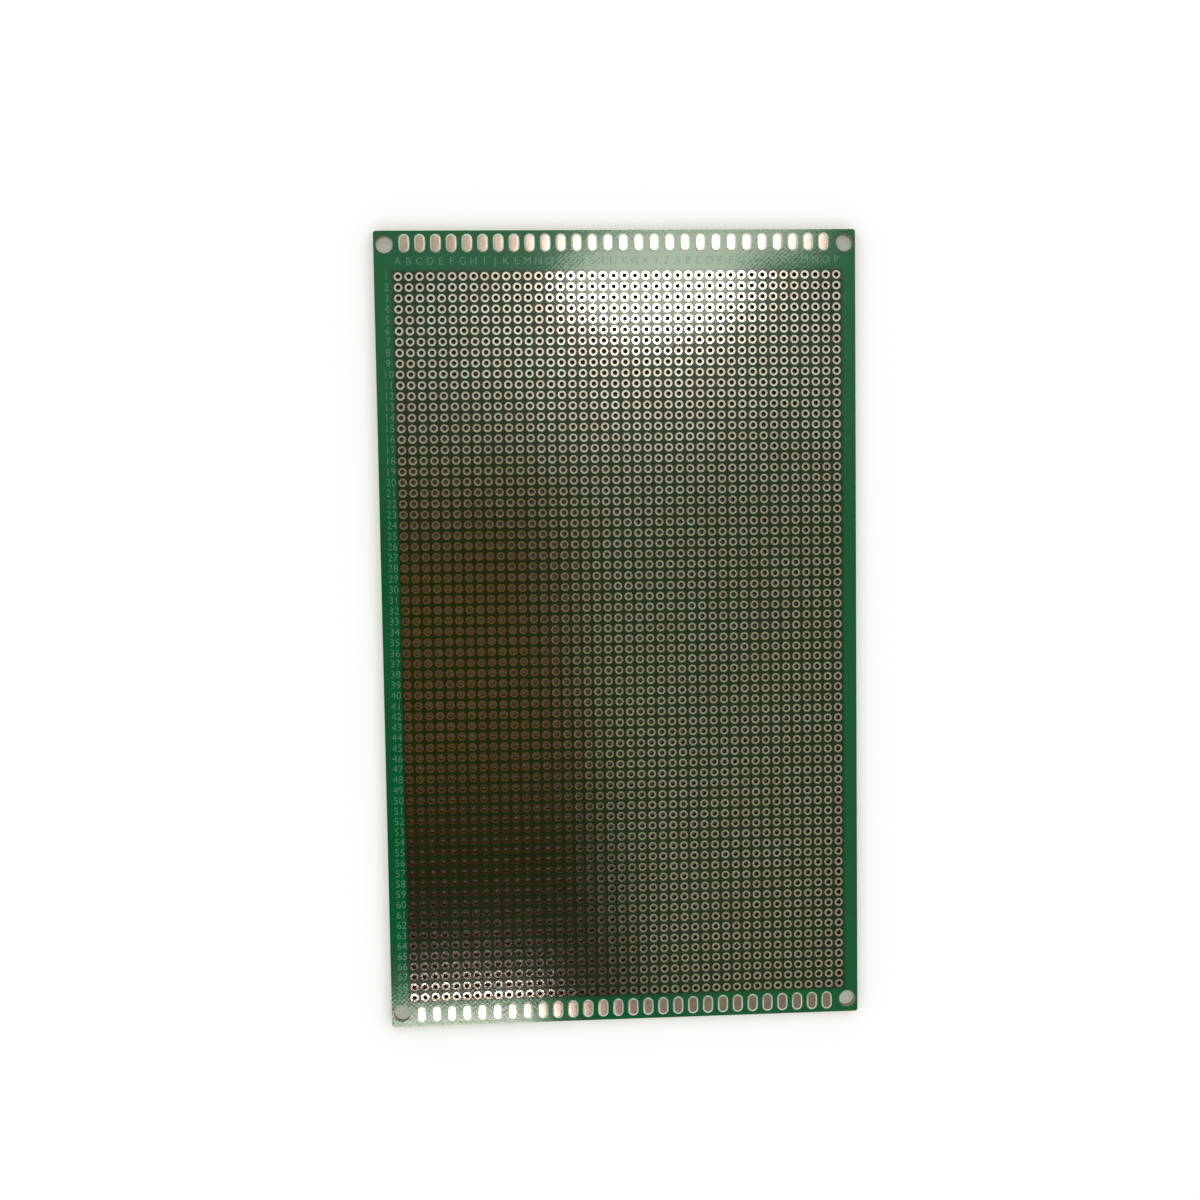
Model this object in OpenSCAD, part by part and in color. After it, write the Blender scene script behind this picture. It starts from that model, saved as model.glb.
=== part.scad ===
// Prototype board: a bare circuit board drilled all over with a close grid of plated holes.
// It lies flat with its lettered face up. X runs across the board, Y along it, towards the
// lettered end, and Z up. The middle of the underside is the origin. Sizes are in millimetres.

/* [Hole grid] */
// plated holes across the board
columns = 42; // [2:1:60]
// plated holes along the board
rows = 69; // [2:1:90]
// distance between neighbouring hole centres, both ways
pitch = 2.0; // [2:0.01:2.54]
// diameter of the drill that cuts each hole before it is plated
drill_d = 1.0; // [0.8:0.05:1.2]
// thickness of the metal that lines each hole
plating_t = 0.05; // [0.03:0.01:0.1]
// outer diameter of the metal ring at each end of a hole
ring_d = 1.75; // [1.5:0.05:1.8]

/* [Board] */
// thickness over both green faces
board_t = 1.6; // [0.8:0.1:3.2]
// from the left edge to the first column of holes
margin_left = 4.4; // [2:0.1:12]
// from the last column of holes to the right edge
margin_right = 3.6; // [2:0.1:12]
// from the lettered end to the first row of holes
margin_lettered = 8.4; // [5.6:0.1:16]
// from the last row of holes to the plain end
margin_plain = 5.6; // [5.6:0.1:16]
// radius of the board's four corners
corner_r = 0.5; // [0.2:0.1:1.5]
// depth of the green coat, which is left out where metal lies on the board
coat_t = 0.05; // [0.03:0.01:0.1]
// space left in the coat around the metal
coat_gap = 0.05; // [0.02:0.01:0.09]

/* [Edge contacts] */
// contacts in each row at an end
contacts = 28; // [2:1:28]
// distance between neighbouring contacts
contact_pitch = 2.9; // [2.5:0.1:2.9]
// width of a contact, across the board
contact_w = 2.0; // [1:0.1:2.2]
// length of a contact, along the board
contact_l = 3.4; // [2.4:0.1:3.6]
// from an end edge to the middle of its contacts
contact_end = 2.3; // [2.1:0.05:2.6]
// how far the rows of contacts sit right of the board's middle
contact_shift = -0.2; // [-0.5:0.1:0.5]

/* [Mounting holes] */
// diameter of the four corner holes, which take an M3 screw
mount_d = 3.2; // [2.2:0.1:3.4]
// from a side edge to the middle of a mounting hole
mount_side = 2.0; // [1.9:0.05:2.2]
// from an end edge to the middle of a mounting hole
mount_end = 2.5; // [2:0.1:3]

/* [Hidden] */
$fn = 48;
// how far a cutter runs past the face it opens
over = 1;
hole_r = drill_d / 2 - plating_t;
ring_r = ring_d / 2;
grid_w = (columns - 1) * pitch;
grid_l = (rows - 1) * pitch;
board_w = grid_w + margin_left + margin_right;
board_l = grid_l + margin_lettered + margin_plain;
// the first column and the first row, seen from the board's middle
first_x = margin_left - board_w / 2;
first_y = board_l / 2 - margin_lettered;
row_h = ring_d + 2 * coat_gap;
row_w = grid_w + row_h;
contact_row_w = (contacts - 1) * contact_pitch + contact_w + 2 * coat_gap;
contact_row_h = contact_l + 2 * coat_gap;
contact_y = board_l / 2 - contact_end;
// heights of the metal's seats under the coat, below and above
seat_low = coat_t;
seat_high = board_t - coat_t;
upper_rows = ceil(rows / 2);

module slab() {
  for (turn = [0, 1])
    translate([-board_w / 2 + turn * corner_r, -board_l / 2 + (1 - turn) * corner_r, 0])
      cube([board_w - 2 * turn * corner_r, board_l - 2 * (1 - turn) * corner_r, board_t]);
  for (x = [-1, 1], y = [-1, 1])
    translate([x * (board_w / 2 - corner_r), y * (board_l / 2 - corner_r), 0])
      cylinder(r = corner_r, h = board_t);
}

// a shallow opening in the coat of both faces, w by h about the point [x, y]
module coat_opening(x, y, w, h) {
  for (z = [seat_low - over, seat_high])
    translate([x - w / 2, y - h / 2, z]) cube([w, h, over]);
}

module board() {
  color([0.03, 0.29, 0.15])
    difference() {
      slab();
      for (j = [0 : rows - 1])
        coat_opening(first_x + grid_w / 2, first_y - j * pitch, row_w, row_h);
      for (y = [-1, 1])
        coat_opening(contact_shift, y * contact_y, contact_row_w, contact_row_h);
      for (i = [0 : columns - 1], j = [0 : rows - 1])
        translate([first_x + i * pitch, first_y - j * pitch, -over])
          cylinder(d = drill_d, h = board_t + 2 * over);
      for (x = [-1, 1], y = [-1, 1])
        translate([x * (board_w / 2 - mount_side), y * (board_l / 2 - mount_end), -over])
          cylinder(d = mount_d, h = board_t + 2 * over);
    }
}

// the metal of one hole: a thin barrel with a ring at each end that slopes down to its rim
module plated_hole() {
  rotate_extrude()
    polygon([
      [hole_r, 0], [ring_r, seat_low], [drill_d / 2, seat_low],
      [drill_d / 2, seat_high], [ring_r, seat_high], [hole_r, board_t]
    ]);
}

module plated_holes(from_row, to_row) {
  color([0.75, 0.74, 0.70])
    for (i = [0 : columns - 1], j = [from_row : to_row])
      translate([first_x + i * pitch, first_y - j * pitch, 0]) plated_hole();
}

module contact() {
  linear_extrude(coat_t) {
    square([contact_w, contact_l - contact_w], center = true);
    for (y = [-1, 1])
      translate([0, y * (contact_l - contact_w) / 2]) circle(d = contact_w);
  }
}

module edge_contacts() {
  color([0.75, 0.74, 0.70])
    for (k = [0 : contacts - 1], y = [-1, 1], z = [0, seat_high])
      translate([contact_shift + (k - (contacts - 1) / 2) * contact_pitch, y * contact_y, z])
        contact();
}

board();
plated_holes(0, upper_rows - 1);  // plated_holes_lettered_half
plated_holes(upper_rows, rows - 1);  // plated_holes_plain_half
edge_contacts();
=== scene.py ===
"""Dresses a bare prototype board: its green coat, tinned rings and contacts, and its index legend."""

import logging
import math
import string
from collections.abc import Callable
from dataclasses import dataclass, field
from enum import Enum

import bmesh
import bpy
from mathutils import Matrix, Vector


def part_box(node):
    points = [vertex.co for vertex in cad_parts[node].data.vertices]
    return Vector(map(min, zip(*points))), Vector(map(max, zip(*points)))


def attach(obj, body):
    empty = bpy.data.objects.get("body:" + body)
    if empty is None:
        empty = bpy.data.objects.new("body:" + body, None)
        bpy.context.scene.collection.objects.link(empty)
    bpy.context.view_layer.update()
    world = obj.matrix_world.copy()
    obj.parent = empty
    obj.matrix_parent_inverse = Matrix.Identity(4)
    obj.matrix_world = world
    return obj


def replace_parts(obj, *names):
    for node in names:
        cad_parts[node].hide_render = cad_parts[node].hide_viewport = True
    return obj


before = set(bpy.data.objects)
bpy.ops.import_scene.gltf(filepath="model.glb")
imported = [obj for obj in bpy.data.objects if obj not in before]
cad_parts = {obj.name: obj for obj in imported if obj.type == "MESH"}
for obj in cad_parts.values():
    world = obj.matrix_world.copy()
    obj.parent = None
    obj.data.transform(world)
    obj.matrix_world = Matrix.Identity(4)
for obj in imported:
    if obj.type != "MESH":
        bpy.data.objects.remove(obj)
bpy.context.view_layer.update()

MM = 0.001
TINY = 0.001 * MM
BODY = "root"
log = logging.getLogger("prototype_board")

Colour = tuple[float, float, float, float]
Point = tuple[float, float, float]
Pair = tuple[float, float]
Socket = bpy.types.NodeSocket
Value = Socket | float | Colour


class End(Enum):
    """The two short ends of the board, by the side of the middle they lie on."""

    LETTERED = 1
    PLAIN = -1


@dataclass(frozen=True)
class BoardSizes:
    """The board's sizes in metres, with the middle of its underside at the origin."""

    columns: int = 42
    rows: int = 69
    pitch: float = 2.0 * MM
    bore_r: float = 0.45 * MM
    ring_r: float = 0.875 * MM
    margin_left: float = 4.4 * MM
    margin_lettered: float = 8.4 * MM
    coat: float = 0.05 * MM
    contacts: int = 28
    contact_pitch: float = 2.9 * MM
    contact_w: float = 2.0 * MM
    contact_l: float = 3.4 * MM
    contact_end: float = 2.3 * MM
    contact_shift: float = -0.2 * MM
    low: Vector = field(default_factory=lambda: Vector(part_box("board")[0]))
    high: Vector = field(default_factory=lambda: Vector(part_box("board")[1]))

    @property
    def top(self) -> float:
        """Height of the front face."""
        return self.high.z

    @property
    def first_x(self) -> float:
        """Middle of the first column of holes."""
        return self.low.x + self.margin_left

    @property
    def first_y(self) -> float:
        """Middle of the first row of holes, at the lettered end."""
        return self.high.y - self.margin_lettered

    @property
    def seat_high(self) -> float:
        """Height of the metal's seat under the front coat."""
        return self.top - self.coat

    def contact_y(self, end: End) -> float:
        """Middle of the contacts at one end."""
        return end.value * (self.high.y - self.contact_end)


SIZES = BoardSizes()


def clear_selection() -> None:
    """Leaves nothing selected, because an operator acts on all that is."""
    for obj in bpy.context.selected_objects:
        obj.select_set(False)


def make_active(obj: bpy.types.Object) -> None:
    """Selects one object alone and makes it the active one.

    Args:
        obj: the object that the next operators act on.
    """
    clear_selection()
    obj.select_set(True)
    bpy.context.view_layer.objects.active = obj


def name_active(name: str) -> bpy.types.Object:
    """Names the active object and its data.

    Args:
        name: the piece's name.

    Returns:
        The active object.
    """
    obj = bpy.context.object
    obj.name = name
    obj.data.name = name
    return obj


def select_where(obj: bpy.types.Object, test: Callable[[Vector], bool]) -> None:
    """Selects the vertices of a mesh in edit mode by their place.

    Args:
        obj: an object in edit mode.
        test: a function of a vertex's place that says whether to select it.
    """
    mesh = bmesh.from_edit_mesh(obj.data)
    for vertex in mesh.verts:
        vertex.select = False
    mesh.select_flush(False)
    for vertex in mesh.verts:
        vertex.select = test(vertex.co)
    mesh.select_flush(True)
    bmesh.update_edit_mesh(obj.data)


def extrude_rim(factor: float, rise: float, centre: Point) -> None:
    """Extrudes the selected rim of edges, scales it about its axis and lifts it.

    Args:
        factor: the new rim's radius over the old one's.
        rise: how far the new rim lies above the old one.
        centre: the middle of the old rim.
    """
    bpy.ops.mesh.extrude_edges_move(TRANSFORM_OT_translate={"value": (0, 0, rise)})
    if factor != 1:
        lifted = (centre[0], centre[1], centre[2] + rise)
        bpy.ops.transform.resize(value=(factor, factor, 1), center_override=lifted)


def repeat(obj: bpy.types.Object, count: int, step: Point) -> None:
    """Copies the mesh of an object in a row, and applies the copies.

    Args:
        obj: the object to repeat.
        count: how many there are in all.
        step: the offset from one copy to the next.
    """
    make_active(obj)
    array = obj.modifiers.new("row", "ARRAY")
    array.count = count
    array.use_relative_offset = False
    array.use_constant_offset = True
    array.constant_offset_displace = step
    bpy.ops.object.modifier_apply(modifier=array.name)


def settle(obj: bpy.types.Object) -> None:
    """Puts an object's place, turn and scale into its mesh."""
    make_active(obj)
    bpy.ops.object.transform_apply(location=True, rotation=True, scale=True)


def smooth(obj: bpy.types.Object, degrees: float) -> None:
    """Shades an object smooth, apart from edges sharper than an angle.

    Args:
        obj: the object to shade.
        degrees: the least angle of an edge that stays sharp.
    """
    make_active(obj)
    bpy.ops.object.shade_smooth_by_angle(angle=math.radians(degrees))


def turn_outwards(obj: bpy.types.Object) -> None:
    """Recalculates the normals of a closed mesh so that they point out of it.

    Args:
        obj: the object.
    """
    make_active(obj)
    bpy.ops.object.mode_set(mode="EDIT")
    bpy.ops.mesh.select_all(action="SELECT")
    bpy.ops.mesh.normals_make_consistent(inside=False)
    bpy.ops.object.mode_set(mode="OBJECT")


def copy_turned_over(obj: bpy.types.Object, name: str, axis_height: float) -> bpy.types.Object:
    """Copies a piece to the other face, turned half round a line along Y at mid-thickness.

    Args:
        obj: the piece on the front face.
        name: the copy's name.
        axis_height: the height of the line.

    Returns:
        The copy.
    """
    make_active(obj)
    bpy.ops.object.duplicate()
    copy = name_active(name)
    copy.rotation_euler = (0, math.pi, 0)
    copy.location = (0, 0, 2 * axis_height)
    settle(copy)
    return copy


def join(objects: list[bpy.types.Object], name: str) -> bpy.types.Object:
    """Joins several objects in one piece.

    Args:
        objects: the objects, of which the first keeps its slots.
        name: the joined piece's name.

    Returns:
        The joined object.
    """
    clear_selection()
    for obj in objects:
        obj.select_set(True)
    bpy.context.view_layer.objects.active = objects[0]
    bpy.ops.object.join()
    return name_active(name)


class NodeTree:
    """A node tree, with short calls for the nodes that the finishes and the surround share."""

    def __init__(self, tree: bpy.types.NodeTree) -> None:
        """Takes a tree to fill.

        Args:
            tree: the node tree of a material or a world.
        """
        self.nodes = tree.nodes
        self.links = tree.links

    def put(self, value: Value, socket: Socket) -> None:
        """Links an output to a socket, or writes a constant on it.

        Args:
            value: an output socket, a number or a colour.
            socket: the input socket.
        """
        if isinstance(value, bpy.types.NodeSocket):
            self.links.new(value, socket)
        else:
            socket.default_value = value

    def maths(self, operation: str, first: Value, second: Value = 0.0, third: Value = 0.0) -> Socket:
        """Adds a Math node.

        Args:
            operation: Blender's name for the operation.
            first: the first value or output.
            second: the second value or output.
            third: the third value or output.

        Returns:
            The node's output.
        """
        node = self.nodes.new("ShaderNodeMath")
        node.operation = operation
        for value, socket in zip((first, second, third), node.inputs):
            self.put(value, socket)
        return node.outputs[0]

    def axis(self, vector: Socket, letter: str) -> Socket:
        """Gives one coordinate of a vector.

        Args:
            vector: the vector output.
            letter: X, Y or Z.

        Returns:
            The coordinate's output.
        """
        node = self.nodes.new("ShaderNodeSeparateXYZ")
        self.links.new(vector, node.inputs[0])
        return node.outputs[letter]

    def spread(self, value: Socket, low: float, high: float, start: float = 0, stop: float = 1) -> Socket:
        """Maps a value from one range to another, clamped.

        Args:
            value: the output to map.
            low: the result where the value is start.
            high: the result where the value is stop.
            start: the lower end of the value's range.
            stop: the upper end of the value's range.

        Returns:
            The mapped output.
        """
        node = self.nodes.new("ShaderNodeMapRange")
        self.links.new(value, node.inputs["Value"])
        node.inputs["From Min"].default_value = start
        node.inputs["From Max"].default_value = stop
        node.inputs["To Min"].default_value = low
        node.inputs["To Max"].default_value = high
        return node.outputs[0]

    def ease(self, value: Socket, start: float, stop: float) -> Socket:
        """Rises smoothly from 0 to 1 while a value goes from start to stop.

        Args:
            value: the output to follow.
            start: where the rise begins.
            stop: where it ends.

        Returns:
            The output of the rise.
        """
        rise = self.spread(value, 0, 1, start, stop)
        rise.node.interpolation_type = "SMOOTHSTEP"
        return rise

    def mix(self, share: Value, first: Value, second: Value) -> Socket:
        """Mixes two colours.

        Args:
            share: how much of the second shows, from 0 to 1.
            first: the first colour or output.
            second: the second colour or output.

        Returns:
            The mixed colour output.
        """
        node = self.nodes.new("ShaderNodeMix")
        node.data_type = "RGBA"
        self.put(share, node.inputs[0])
        self.put(first, node.inputs[6])
        self.put(second, node.inputs[7])
        return node.outputs[2]


@dataclass(frozen=True)
class Pattern:
    """A noise pattern, stretched so that it gives low where it is start and high where it is stop.

    The scale is the number of blobs in a metre, and the detail the number of finer layers.
    """

    scale: float
    detail: float
    low: float = 0.0
    high: float = 1.0
    start: float = 0.0
    stop: float = 1.0


class NodeSheet(NodeTree):
    """A material's node tree, with the calls that only a material needs."""

    def __init__(self, name: str) -> None:
        """Makes an empty material with one shader and its output.

        Args:
            name: the material's name.
        """
        self.material = bpy.data.materials.new(name)
        self.material.use_nodes = True
        self.material.node_tree.nodes.clear()
        super().__init__(self.material.node_tree)
        self.shader = self.nodes.new("ShaderNodeBsdfPrincipled")
        output = self.nodes.new("ShaderNodeOutputMaterial")
        self.links.new(self.shader.outputs["BSDF"], output.inputs["Surface"])
        self.place = self.nodes.new("ShaderNodeTexCoord").outputs["Object"]

    def paint(self, name: str, value: Value) -> None:
        """Links an output to one of the shader's sockets, or writes a constant on it.

        Args:
            name: the socket's name.
            value: an output socket, a number or a colour.
        """
        self.put(value, self.shader.inputs[name])

    def noise(self, scale: float, detail: float) -> Socket:
        """Adds a noise pattern on Object coordinates.

        Args:
            scale: the number of blobs in a metre.
            detail: the number of finer layers.

        Returns:
            The pattern's value, about 0.5 on average.
        """
        node = self.nodes.new("ShaderNodeTexNoise")
        self.links.new(self.place, node.inputs["Vector"])
        node.inputs["Scale"].default_value = scale
        node.inputs["Detail"].default_value = detail
        return node.outputs[0]

    def vary(self, pattern: Pattern) -> Socket:
        """Adds a noise pattern and stretches it between its two values.

        Args:
            pattern: the pattern.

        Returns:
            The stretched output.
        """
        noise = self.noise(pattern.scale, pattern.detail)
        return self.spread(noise, pattern.low, pattern.high, pattern.start, pattern.stop)

    def bump(self, height: Socket, depth: float) -> None:
        """Puts a relief on the shader's normal.

        Args:
            height: the output that gives the relief, from 0 to 1.
            depth: the height of the relief in metres.
        """
        node = self.nodes.new("ShaderNodeBump")
        node.inputs["Distance"].default_value = depth
        self.links.new(height, node.inputs["Height"])
        self.links.new(node.outputs["Normal"], self.shader.inputs["Normal"])


@dataclass(frozen=True)
class CoatedLaminate:
    """Glossy green coat on both faces, over a glass and resin laminate that shows at the edges.

    The coat is taken to reach a little deeper than it does, so that its own edge stays green.
    Patterns stronger than 1 lighten a colour, and weaker ones darken it.
    """

    margin_green: Colour = (0.001, 0.080, 0.026, 1)
    # painted shade: the coat among the holes is darker and more olive than at the margins, standing in
    # for the shade and blur among the holes
    painted_shade_green: Colour = (0.009, 0.020, 0.005, 1)
    painted_shade_fade: Pair = (-0.3 * MM, 0.5 * MM)
    mottle: Pattern = Pattern(260, 3, 0.8, 1.2)
    cloth: Pair = (0.94, 1.06)
    coat_reach: float = 1.2
    gloss: float = 0.5
    gloss_tint: Colour = (0.93, 1.0, 0.93, 1)
    shine: Pattern = Pattern(900, 2, 0.07, 0.11)
    core_dullness: float = 0.4
    core_pale: Colour = (0.30, 0.28, 0.13, 1)
    core_dark: Colour = (0.17, 0.17, 0.07, 1)
    layers: int = 7
    layer_weight: float = 0.25
    fibre_scale: float = 6000.0
    streak: Pair = (0.25, 0.85)
    weave_pitch: float = 0.9 * MM
    weave_weight: float = 0.35
    relief_scale: float = 1400.0
    relief: float = 0.004 * MM

    def material(self) -> bpy.types.Material:
        """Builds the coat and laminate material.

        Returns:
            The material.
        """
        sheet = NodeSheet("coated_laminate")
        across = sheet.axis(sheet.place, "X")
        along = sheet.axis(sheet.place, "Y")
        height = sheet.axis(sheet.place, "Z")
        weave = self.weave(sheet, across, along)
        middle = SIZES.top / 2
        from_middle = sheet.maths("ABSOLUTE", sheet.maths("SUBTRACT", height, middle))
        is_coat = sheet.maths("GREATER_THAN", from_middle, middle - self.coat_reach * SIZES.coat)
        green = self.coat_colour(sheet, across, along, weave)
        sheet.paint("Base Color", sheet.mix(is_coat, self.core_colour(sheet, height), green))
        is_core = sheet.maths("SUBTRACT", 1.0, is_coat)
        sheet.paint(
            "Roughness", sheet.maths("MULTIPLY_ADD", is_core, self.core_dullness, sheet.vary(self.shine))
        )
        sheet.paint("IOR", 1.5)
        sheet.paint("Specular IOR Level", self.gloss)
        sheet.paint("Specular Tint", self.gloss_tint)
        grain = sheet.noise(self.relief_scale, 2)
        sheet.bump(sheet.maths("MULTIPLY_ADD", weave, self.weave_weight, grain), self.relief)
        return sheet.material

    def core_colour(self, sheet: NodeSheet, height: Socket) -> Socket:
        """Gives the laminate's colour, streaked by its fibres and faintly banded by its layers.

        Args:
            sheet: the material's node sheet.
            height: the place along Z.

        Returns:
            The colour output.
        """
        turn = self.layers * math.tau / SIZES.top
        bands = sheet.maths("SINE", sheet.maths("MULTIPLY", height, turn))
        fibres = sheet.noise(self.fibre_scale, 3)
        banded = sheet.maths("MULTIPLY_ADD", bands, self.layer_weight, fibres)
        return sheet.mix(sheet.spread(banded, 0, 1, *self.streak), self.core_dark, self.core_pale)

    def coat_colour(self, sheet: NodeSheet, across: Socket, along: Socket, weave: Socket) -> Socket:
        """Gives the coat's green, with painted shade that darkens it among the holes, and the cloth
        showing faintly through.

        Args:
            sheet: the material's node sheet.
            across: the place along X.
            along: the place along Y.
            weave: the glass cloth's weave.

        Returns:
            The colour output.
        """
        overshoots = []
        for place, first, step, count in (
            (across, SIZES.first_x, SIZES.pitch, SIZES.columns),
            (along, SIZES.first_y, -SIZES.pitch, SIZES.rows),
        ):
            middle = first + (count - 1) * step / 2
            offset = sheet.maths("ABSOLUTE", sheet.maths("SUBTRACT", place, middle))
            overshoots.append(sheet.maths("SUBTRACT", offset, count * SIZES.pitch / 2))
        # painted shade: the green turns to the darker shade colour over the field of holes
        painted_shade_share = sheet.spread(sheet.maths("MAXIMUM", *overshoots), 1, 0, *self.painted_shade_fade)
        green = sheet.mix(painted_shade_share, self.margin_green, self.painted_shade_green)
        tone = sheet.maths("MULTIPLY", sheet.vary(self.mottle), sheet.spread(weave, *self.cloth))
        scale = sheet.nodes.new("ShaderNodeVectorMath")
        scale.operation = "SCALE"
        sheet.links.new(green, scale.inputs[0])
        sheet.links.new(tone, scale.inputs["Scale"])
        return scale.outputs[0]

    def weave(self, sheet: NodeSheet, across: Socket, along: Socket) -> Socket:
        """Gives the glass cloth's plain weave, from 0 to 1.

        Args:
            sheet: the material's node sheet.
            across: the place along X.
            along: the place along Y.

        Returns:
            The weave's output.
        """
        turn = math.tau / self.weave_pitch
        warp = sheet.maths("SINE", sheet.maths("MULTIPLY", across, turn))
        weft = sheet.maths("SINE", sheet.maths("MULTIPLY", along, turn))
        return sheet.spread(sheet.maths("MULTIPLY", warp, weft), 0, 1, -1, 1)


@dataclass(frozen=True)
class Tin:
    """Levelled tin over copper: bright, a little uneven and warm."""

    name: str
    pale: Colour = (0.71, 0.70, 0.63, 1)
    warm: Colour = (0.66, 0.56, 0.48, 1)
    warmth: Pattern = Pattern(330, 1, 0.0, 1.0, 0.3, 0.7)
    rough: Pattern = Pattern(2600, 3, 0.05, 0.09, 0.3, 0.7)
    relief_scale: float = 1900.0
    relief: float = 0.0012 * MM

    def material(self) -> bpy.types.Material:
        """Builds the tin's material.

        Returns:
            The material.
        """
        sheet = NodeSheet(self.name)
        sheet.paint("Base Color", sheet.mix(sheet.vary(self.warmth), self.pale, self.warm))
        sheet.paint("Roughness", sheet.vary(self.rough))
        sheet.paint("Metallic", 1.0)
        sheet.bump(sheet.noise(self.relief_scale, 3), self.relief)
        return sheet.material


RING_TIN = Tin("ring_tin")
# painted highlight: the contacts' rims get a paler, greener copy of the tin that stands in for the bright
# reflections on their rounded edges; its greater roughness is the tin's own
CONTACT_RIM_HIGHLIGHT_TIN = Tin(
    "contact_rim_painted_highlight",
    pale=(0.54, 0.59, 0.51, 1),
    warm=(0.48, 0.52, 0.44, 1),
    warmth=Pattern(600, 1, 0.0, 1.0, 0.3, 0.7),
    rough=Pattern(2600, 3, 0.30, 0.38, 0.3, 0.7),
)
# painted reflection: the contacts' middles get a pinkish copy of the tin that stands in for the room
# mirrored in them
CONTACT_MIDDLE_REFLECTION_TIN = Tin(
    "contact_middle_painted_reflection",
    pale=(0.52, 0.42, 0.37, 1),
    warm=(0.47, 0.33, 0.29, 1),
    warmth=Pattern(900, 1, 0.0, 1.0, 0.3, 0.7),
    rough=Pattern(2600, 3, 0.14, 0.22, 0.3, 0.7),
)


@dataclass(frozen=True)
class HoleLining:
    """The dull plating inside a hole, partly brown from stain and partly darkened as painted shade for
    the shaded hole and the dark surface seen through it.
    """

    # painted shade: both colours are far darker than plating, standing in for the shaded hole and the
    # dark brown surface seen through it, beside a real copper and flux stain
    brown: Colour = (0.17, 0.052, 0.024, 1)
    grey: Colour = (0.12, 0.055, 0.032, 1)
    stain: Pattern = Pattern(420, 2, 0.0, 1.0, 0.35, 0.7)
    rough: Pattern = Pattern(5000, 2, 0.45, 0.7)
    relief_scale: float = 7000.0
    relief: float = 0.01 * MM

    def material(self) -> bpy.types.Material:
        """Builds the lining's material.

        Returns:
            The material.
        """
        sheet = NodeSheet("hole_lining")
        sheet.paint("Base Color", sheet.mix(sheet.vary(self.stain), self.brown, self.grey))
        sheet.paint("Roughness", sheet.vary(self.rough))
        sheet.paint("Specular IOR Level", 0.0)
        sheet.bump(sheet.noise(self.relief_scale, 2), self.relief)
        return sheet.material


@dataclass(frozen=True)
class LegendInk:
    """Thin pale ink, printed through a mesh, that lets a little green through."""

    pale: Colour = (0.085, 0.21, 0.13, 1)
    thin: Colour = (0.015, 0.12, 0.05, 1)
    thinning: Pattern = Pattern(2400, 3, 0.0, 1.0, 0.4, 0.75)
    rough: Pattern = Pattern(4000, 2, 0.16, 0.26)

    def material(self) -> bpy.types.Material:
        """Builds the ink's material.

        Returns:
            The material.
        """
        sheet = NodeSheet("legend_ink")
        sheet.paint("Base Color", sheet.mix(sheet.vary(self.thinning), self.pale, self.thin))
        sheet.paint("Roughness", sheet.vary(self.rough))
        return sheet.material


@dataclass
class Laminate:
    """The green board itself, which is the CAD node with a better finish."""

    finish: bpy.types.Material
    node: str = "board"

    def build(self) -> None:
        """Gives the node its finish."""
        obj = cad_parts[self.node]
        obj.data.materials.clear()
        obj.data.materials.append(self.finish)
        log.info("dressed %s", obj.name)


@dataclass
class PlatedHoles:
    """A block of whole rows of plated holes, each a lining with a tin ring at both ends.

    The coat laps over the outer edge of each ring, so the tin is bare only out to bare_r.
    """

    name: str
    first_row: int
    row_count: int
    tin: bpy.types.Material
    lining: bpy.types.Material
    coat: bpy.types.Material
    sides: int = 12
    bare_r: float = 0.80 * MM
    lip: float = 0.002 * MM
    sharp_degrees: float = 50.0

    def build(self) -> bpy.types.Object:
        """Builds one plated hole and repeats it over the block.

        Returns:
            The finished piece.
        """
        hole = self.one_hole()
        repeat(hole, SIZES.columns, (SIZES.pitch, 0, 0))
        repeat(hole, self.row_count, (0, -SIZES.pitch, 0))
        settle(hole)
        smooth(hole, self.sharp_degrees)
        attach(hole, BODY)
        log.info("built %s: %d plated holes", hole.name, SIZES.columns * self.row_count)
        return hole

    def one_hole(self) -> bpy.types.Object:
        """Draws one ring's rim and extrudes it through the hole to the other face.

        Returns:
            The first plated hole of the block, closed all round.
        """
        place = (SIZES.first_x, SIZES.first_y - self.first_row * SIZES.pitch)
        section = [
            (SIZES.ring_r, SIZES.top),
            (self.bare_r, SIZES.top),
            (SIZES.bore_r, SIZES.top - self.lip),
            (SIZES.bore_r, self.lip),
            (self.bare_r, 0.0),
            (SIZES.ring_r, 0.0),
            (SIZES.ring_r, SIZES.top),
        ]
        clear_selection()
        bpy.ops.mesh.primitive_circle_add(
            vertices=self.sides, radius=section[0][0], location=(*place, section[0][1])
        )
        hole = name_active(self.name)
        settle(hole)
        bpy.ops.object.mode_set(mode="EDIT")
        bpy.ops.mesh.select_all(action="SELECT")
        for (radius, height), (next_radius, next_height) in zip(section, section[1:]):
            extrude_rim(next_radius / radius, next_height - height, (*place, height))
        bpy.ops.mesh.select_all(action="SELECT")
        bpy.ops.mesh.remove_doubles(threshold=TINY)
        bpy.ops.object.mode_set(mode="OBJECT")
        turn_outwards(hole)
        self.dress(hole, Vector(place))
        return hole

    def dress(self, hole: bpy.types.Object, axis: Vector) -> None:
        """Gives the lining's faces, and those outside the bare tin, their own finishes.

        Args:
            hole: the plated hole.
            axis: the place of its axis.
        """
        for finish in (self.tin, self.lining, self.coat):
            hole.data.materials.append(finish)
        bare_flat = self.bare_r * math.cos(math.pi / self.sides)
        for face in hole.data.polygons:
            distance = (face.center.xy - axis).length
            if distance < SIZES.bore_r:
                face.material_index = 1
            elif distance > bare_flat:
                face.material_index = 2


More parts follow.
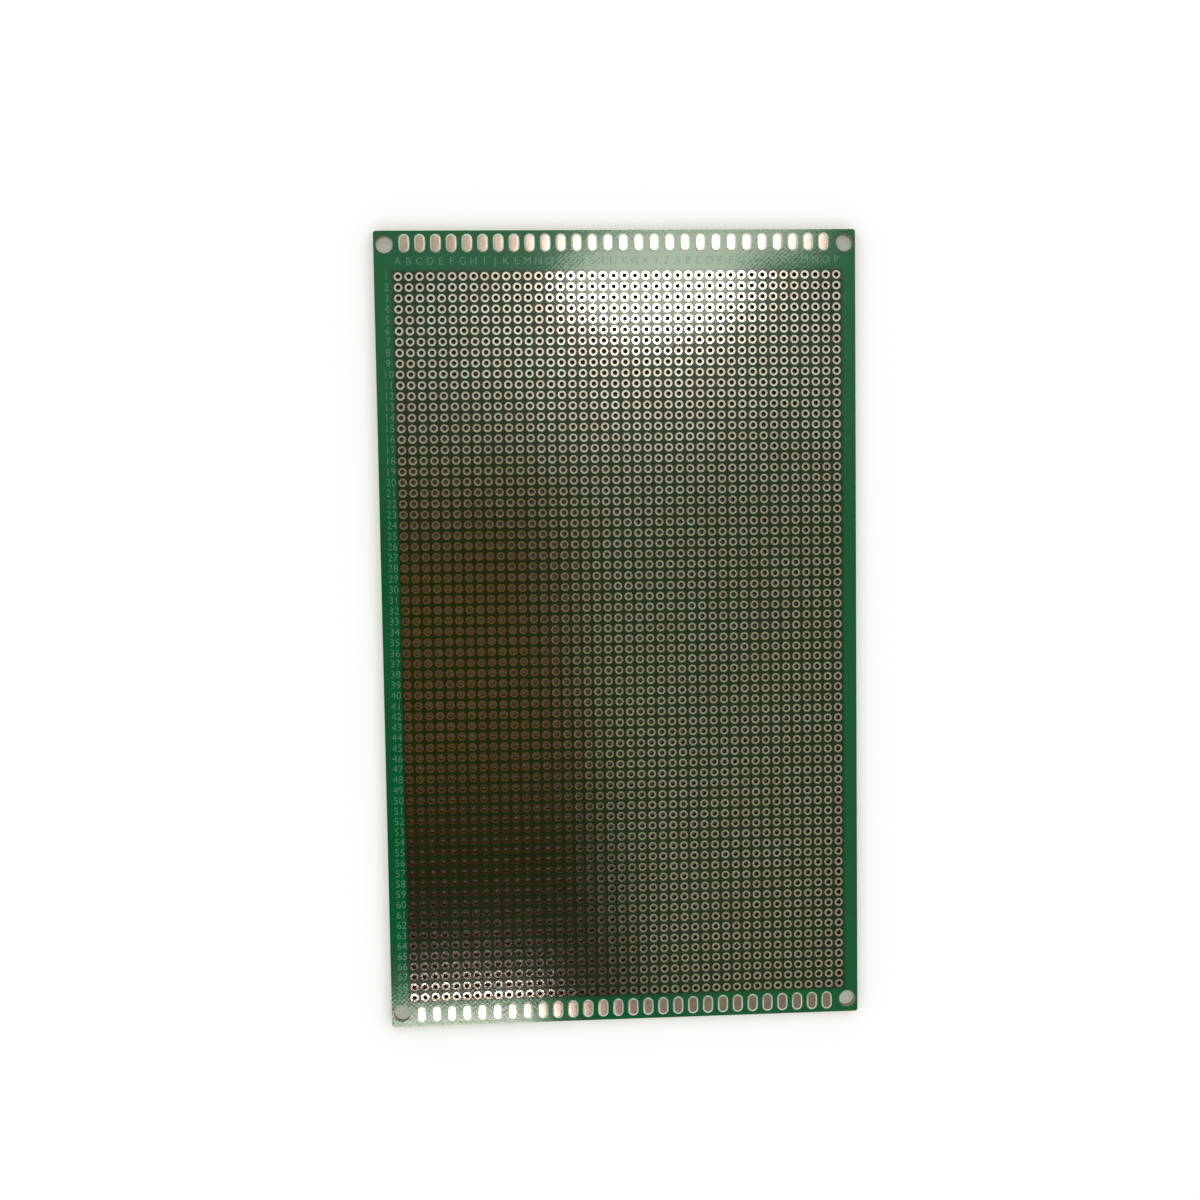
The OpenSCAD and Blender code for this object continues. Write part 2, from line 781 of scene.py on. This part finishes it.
@dataclass
class EdgeContacts:
    """The flat round-ended contacts along both ends and on both faces.

    A contact rises from its seat by a straight wall and then by steps. Each step is how far it
    runs inwards, and how much of the coat's thickness it climbs, as the wall's share is.
    """

    rim_highlight_tin: bpy.types.Material
    middle_reflection_tin: bpy.types.Material
    node: str = "edge_contacts"
    sides: int = 20
    wall: float = 0.10
    steps: tuple[Pair, ...] = ((0.10 * MM, 0.75), (0.18 * MM, 0.12), (0.25 * MM, 0.03))
    rim_top: float = 0.975
    sharp_degrees: float = 60.0

    def build(self) -> bpy.types.Object:
        """Builds one contact and repeats it in its four rows.

        Returns:
            The finished piece.
        """
        rows = []
        for end in End:
            row = self.one_contact(end)
            repeat(row, SIZES.contacts, (SIZES.contact_pitch, 0, 0))
            rows.append(row)
        front = join(rows, "edge_contacts_front")
        back = self.other_face(front)
        piece = join([front, back], "tinned_edge_contacts")
        settle(piece)
        smooth(piece, self.sharp_degrees)
        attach(piece, BODY)
        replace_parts(piece, self.node)
        log.info("built %s: %d contacts", piece.name, 4 * SIZES.contacts)
        return piece

    def one_contact(self, end: End) -> bpy.types.Object:
        """Models the first contact of a row: a disc pulled long, raised and rounded at its rim.

        Args:
            end: the end of the board that it lies at.

        Returns:
            The contact.
        """
        first_x = SIZES.contact_shift - (SIZES.contacts - 1) / 2 * SIZES.contact_pitch
        middle_y = SIZES.contact_y(end)
        clear_selection()
        bpy.ops.mesh.primitive_circle_add(
            vertices=self.sides,
            radius=SIZES.contact_w / 2,
            fill_type="NGON",
            location=(first_x, middle_y, SIZES.seat_high),
        )
        contact = name_active("edge_contact_" + end.name.lower())
        settle(contact)
        bpy.ops.object.mode_set(mode="EDIT")
        stretch = (SIZES.contact_l - SIZES.contact_w) / 2
        for side in (1, -1):
            select_where(contact, lambda place: side * (place.y - middle_y) > TINY)
            bpy.ops.transform.translate(value=(0, side * stretch, 0))
        bpy.ops.mesh.select_all(action="SELECT")
        rise = (0, 0, self.wall * SIZES.coat)
        bpy.ops.mesh.extrude_region_move(TRANSFORM_OT_translate={"value": rise})
        for run, climb in self.steps:
            bpy.ops.mesh.inset(thickness=run, depth=climb * SIZES.coat)
        bpy.ops.object.mode_set(mode="OBJECT")
        turn_outwards(contact)
        self.dress(contact)
        return contact

    def dress(self, contact: bpy.types.Object) -> None:
        """Gives the middle of a contact a pinkish tin whose pink is a painted reflection of the room, and
        the rest a paler, greener tin whose paleness is a painted highlight on its rim.

        Args:
            contact: the contact, of which the middle alone lies above the rim's top.
        """
        contact.data.materials.append(self.rim_highlight_tin)
        contact.data.materials.append(self.middle_reflection_tin)
        # the rim's paleness is a painted highlight and the middle's pink a painted reflection
        rim_height = SIZES.seat_high + self.rim_top * SIZES.coat
        for face in contact.data.polygons:
            if face.center.z > rim_height:
                face.material_index = 1

    def other_face(self, front: bpy.types.Object) -> bpy.types.Object:
        """Copies the front's contacts to the back, in line with them.

        Args:
            front: the contacts on the front face.

        Returns:
            The contacts on the back face.
        """
        back = copy_turned_over(front, "edge_contacts_back", SIZES.top / 2)
        back.location.x = 2 * SIZES.contact_shift
        settle(back)
        return back


@dataclass
class Legend:
    """The printed index: a letter over each column and a number beside each row."""

    ink: bpy.types.Material
    height: float = 1.4 * MM
    cap_share: float = 0.7
    letter_gap: float = 2.75 * MM
    number_gap: float = 2.15 * MM
    thickness: float = 0.008 * MM
    weight: float = -0.012
    curve_steps: int = 3

    def build(self) -> bpy.types.Object:
        """Prints every letter and number and joins them.

        Returns:
            The finished legend.
        """
        alphabet = string.ascii_uppercase
        marks = []
        for column in range(SIZES.columns):
            place = (SIZES.first_x + column * SIZES.pitch, SIZES.first_y + self.letter_gap)
            marks.append(self.mark(alphabet[column % len(alphabet)], place))
        for row in range(SIZES.rows):
            place = (SIZES.first_x - self.number_gap, SIZES.first_y - row * SIZES.pitch)
            marks.append(self.mark(str(row + 1), place))
        for mark in marks:
            mark.select_set(True)
        bpy.ops.object.convert(target="MESH")
        legend = join(marks, "index_legend")
        legend.data.materials.clear()
        legend.data.materials.append(self.ink)
        settle(legend)
        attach(legend, BODY)
        log.info("built %s: %d marks", legend.name, len(marks))
        return legend

    def mark(self, words: str, place: Pair) -> bpy.types.Object:
        """Writes one mark as a thin raised text.

        Args:
            words: the letter or number.
            place: its middle on the front face.

        Returns:
            The mark.
        """
        clear_selection()
        bpy.ops.object.text_add(location=(*place, SIZES.top + self.thickness / 2))
        text = bpy.context.object
        text.data.body = words
        text.data.size = self.height / self.cap_share
        text.data.align_x = "CENTER"
        text.data.align_y = "CENTER"
        text.data.offset = self.weight * self.height
        text.data.extrude = self.thickness / 2
        text.data.resolution_u = self.curve_steps
        return text


@dataclass(frozen=True)
class Lamp:
    """A soft lamp that shows only as a highlight, since the walls light the rest evenly.

    Its place and its size are across and along the board, and its radiance is its face's.
    """

    name: str
    place: Pair
    size: Pair
    radiance: float
    shape: str = "ELLIPSE"
    height: float = 900 * MM
    colour: Point = (1.0, 0.95, 0.86)

    def build(self) -> None:
        """Hangs the lamp over the board."""
        width, depth = self.size
        clear_selection()
        bpy.ops.object.light_add(type="AREA", location=(*self.place, self.height))
        lamp = name_active(self.name)
        lamp.data.shape = self.shape
        lamp.data.size = width
        lamp.data.size_y = depth
        face = width * depth * (math.pi / 4 if self.shape == "ELLIPSE" else 1)
        lamp.data.energy = self.radiance * math.pi * face
        lamp.data.color = self.colour
        lamp.visible_diffuse = False
        log.info("hung %s", lamp.name)


@dataclass(frozen=True)
class Studio:
    """A white floor, pale walls under a dim ceiling, and three small soft lamps.

    The ceiling is what the flat tin and the glossy coat mirror: pale towards the lettered end,
    with a soft glow round the far lamp, grey to the right and dark brown to the left. Places and
    edges on it are slopes, the distance across or along for each metre up, and its own rim lies
    between two angles from straight up. The right part's edge slants with the distance along.
    """

    floor_half: float = 1.2
    floor_colour: Colour = (0.98, 0.98, 0.98, 1)
    floor_rough: float = 0.9
    walls: Colour = (1.35, 1.35, 1.35, 1)
    ceiling_far: Colour = (0.62, 0.69, 0.59, 1)
    ceiling_right: Colour = (0.335, 0.362, 0.275, 1)
    ceiling_left: Colour = (0.138, 0.077, 0.020, 1)
    ceiling_near: Colour = (0.030, 0.014, 0.004, 1)
    far_edge: Pair = (-0.04, 0.13)
    right_edge: Pair = (0.0, 0.07)
    near_edge: Pair = (-0.14, -0.26)
    slant: float = 0.14
    rim_degrees: Pair = (41.0, 29.0)
    least_height: float = 0.05
    glow: Colour = (1.44, 1.47, 1.32, 1)
    glow_place: Pair = (0.088, 0.160)
    glow_reach: Pair = (0.17, 0.16)
    lamps: tuple[Lamp, ...] = (
        Lamp("soft_lamp_far", (98 * MM, 200 * MM), (0.15, 0.085), 10.0),
        Lamp("soft_lamp_edge", (150 * MM, 234 * MM), (0.165, 0.032), 10.5),
        Lamp("soft_lamp_near", (-70 * MM, -411 * MM), (0.13, 0.05), 20.0, "RECTANGLE"),
    )

    def build(self) -> None:
        """Makes the floor, the surround and the lamps."""
        self.floor()
        self.world()
        for lamp in self.lamps:
            lamp.build()

    def floor(self) -> None:
        """Lays a plain pale floor under the board."""
        clear_selection()
        bpy.ops.mesh.primitive_plane_add(size=2 * self.floor_half, location=(0, 0, 0))
        floor = name_active("floor")
        sheet = NodeSheet("floor_paint")
        sheet.paint("Base Color", self.floor_colour)
        sheet.paint("Roughness", self.floor_rough)
        sheet.paint("Specular IOR Level", 0.0)
        floor.data.materials.append(sheet.material)

    def world(self) -> None:
        """Makes the surround: pale walls, and a ceiling of four soft-edged parts and a glow."""
        world = bpy.data.worlds.new("surround")
        bpy.context.scene.world = world
        world.use_nodes = True
        world.node_tree.nodes.clear()
        sheet = NodeTree(world.node_tree)
        background = sheet.nodes.new("ShaderNodeBackground")
        output = sheet.nodes.new("ShaderNodeOutputWorld")
        direction = sheet.nodes.new("ShaderNodeTexCoord").outputs["Generated"]
        height = sheet.axis(direction, "Z")
        above = sheet.maths("MAXIMUM", height, self.least_height)
        across = sheet.maths("DIVIDE", sheet.axis(direction, "X"), above)
        along = sheet.maths("DIVIDE", sheet.axis(direction, "Y"), above)
        is_near = sheet.ease(along, *self.near_edge)
        left_part = sheet.mix(is_near, self.ceiling_left, self.ceiling_near)
        is_right = sheet.ease(sheet.maths("MULTIPLY_ADD", along, self.slant, across), *self.right_edge)
        near_part = sheet.mix(is_right, left_part, self.ceiling_right)
        is_far = sheet.ease(along, *self.far_edge)
        parts = sheet.mix(is_far, near_part, self.ceiling_far)
        ceiling = sheet.mix(self.glow_share(sheet, across, along), parts, self.glow)
        rim = [math.cos(math.radians(angle)) for angle in self.rim_degrees]
        is_ceiling = sheet.ease(height, *rim)
        sheet.put(sheet.mix(is_ceiling, self.walls, ceiling), background.inputs["Color"])
        sheet.links.new(background.outputs[0], output.inputs["Surface"])

    def glow_share(self, sheet: NodeTree, across: Socket, along: Socket) -> Socket:
        """Gives the strength of the ceiling's glow, from 1 at its middle to 0 at its reach.

        Args:
            sheet: the world's node tree.
            across: the slope along X.
            along: the slope along Y.

        Returns:
            The output of the strength.
        """
        squares = []
        for slope, middle, reach in zip((across, along), self.glow_place, self.glow_reach):
            offset = sheet.maths("DIVIDE", sheet.maths("SUBTRACT", slope, middle), reach)
            squares.append(sheet.maths("MULTIPLY", offset, offset))
        distance = sheet.maths("SQRT", sheet.maths("ADD", *squares))
        return sheet.ease(distance, 1.0, 0.0)


@dataclass(frozen=True)
class Camera:
    """The photograph's view: close over the board, looking almost straight down."""

    place: Point = (-20.7 * MM, 24.3 * MM, 278.8 * MM)
    turn_degrees: Point = (-3.717, -3.495, -0.838)
    lens_mm: float = 44.16
    sensor_mm: float = 36.0
    clip: Pair = (0.01, 20.0)

    def build(self) -> None:
        """Makes the scene's camera."""
        clear_selection()
        bpy.ops.object.camera_add(
            location=self.place, rotation=[math.radians(angle) for angle in self.turn_degrees]
        )
        camera = name_active("camera")
        camera.data.lens = self.lens_mm
        camera.data.sensor_width = self.sensor_mm
        camera.data.clip_start, camera.data.clip_end = self.clip
        bpy.context.scene.camera = camera


def build_plated_holes(coat: bpy.types.Material) -> None:
    """Builds the four blocks of plated holes, two for each CAD node.

    Args:
        coat: the board's own finish, for the coat that laps over the rings.
    """
    tin = RING_TIN.material()
    lining = HoleLining().material()
    upper_rows = math.ceil(SIZES.rows / 2)
    halves = {
        "plated_holes_lettered_half": (0, upper_rows),
        "plated_holes_plain_half": (upper_rows, SIZES.rows),
    }
    for node, (start, stop) in halves.items():
        middle = (start + stop + 1) // 2
        blocks = {"outer": (start, middle), "inner": (middle, stop)}
        for label, (first, last) in blocks.items():
            block = PlatedHoles(f"{node}_{label}", first, last - first, tin, lining, coat)
            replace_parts(block.build(), node)


def main() -> None:
    """Builds the whole scene in order."""
    logging.basicConfig(level=logging.INFO, format="%(name)s: %(message)s")
    bpy.context.scene.view_settings.view_transform = "Standard"
    Camera().build()
    Studio().build()
    coat = CoatedLaminate().material()
    Laminate(coat).build()
    build_plated_holes(coat)
    EdgeContacts(CONTACT_RIM_HIGHLIGHT_TIN.material(), CONTACT_MIDDLE_REFLECTION_TIN.material()).build()
    Legend(LegendInk().material()).build()


if __name__ == "__main__":
    main()
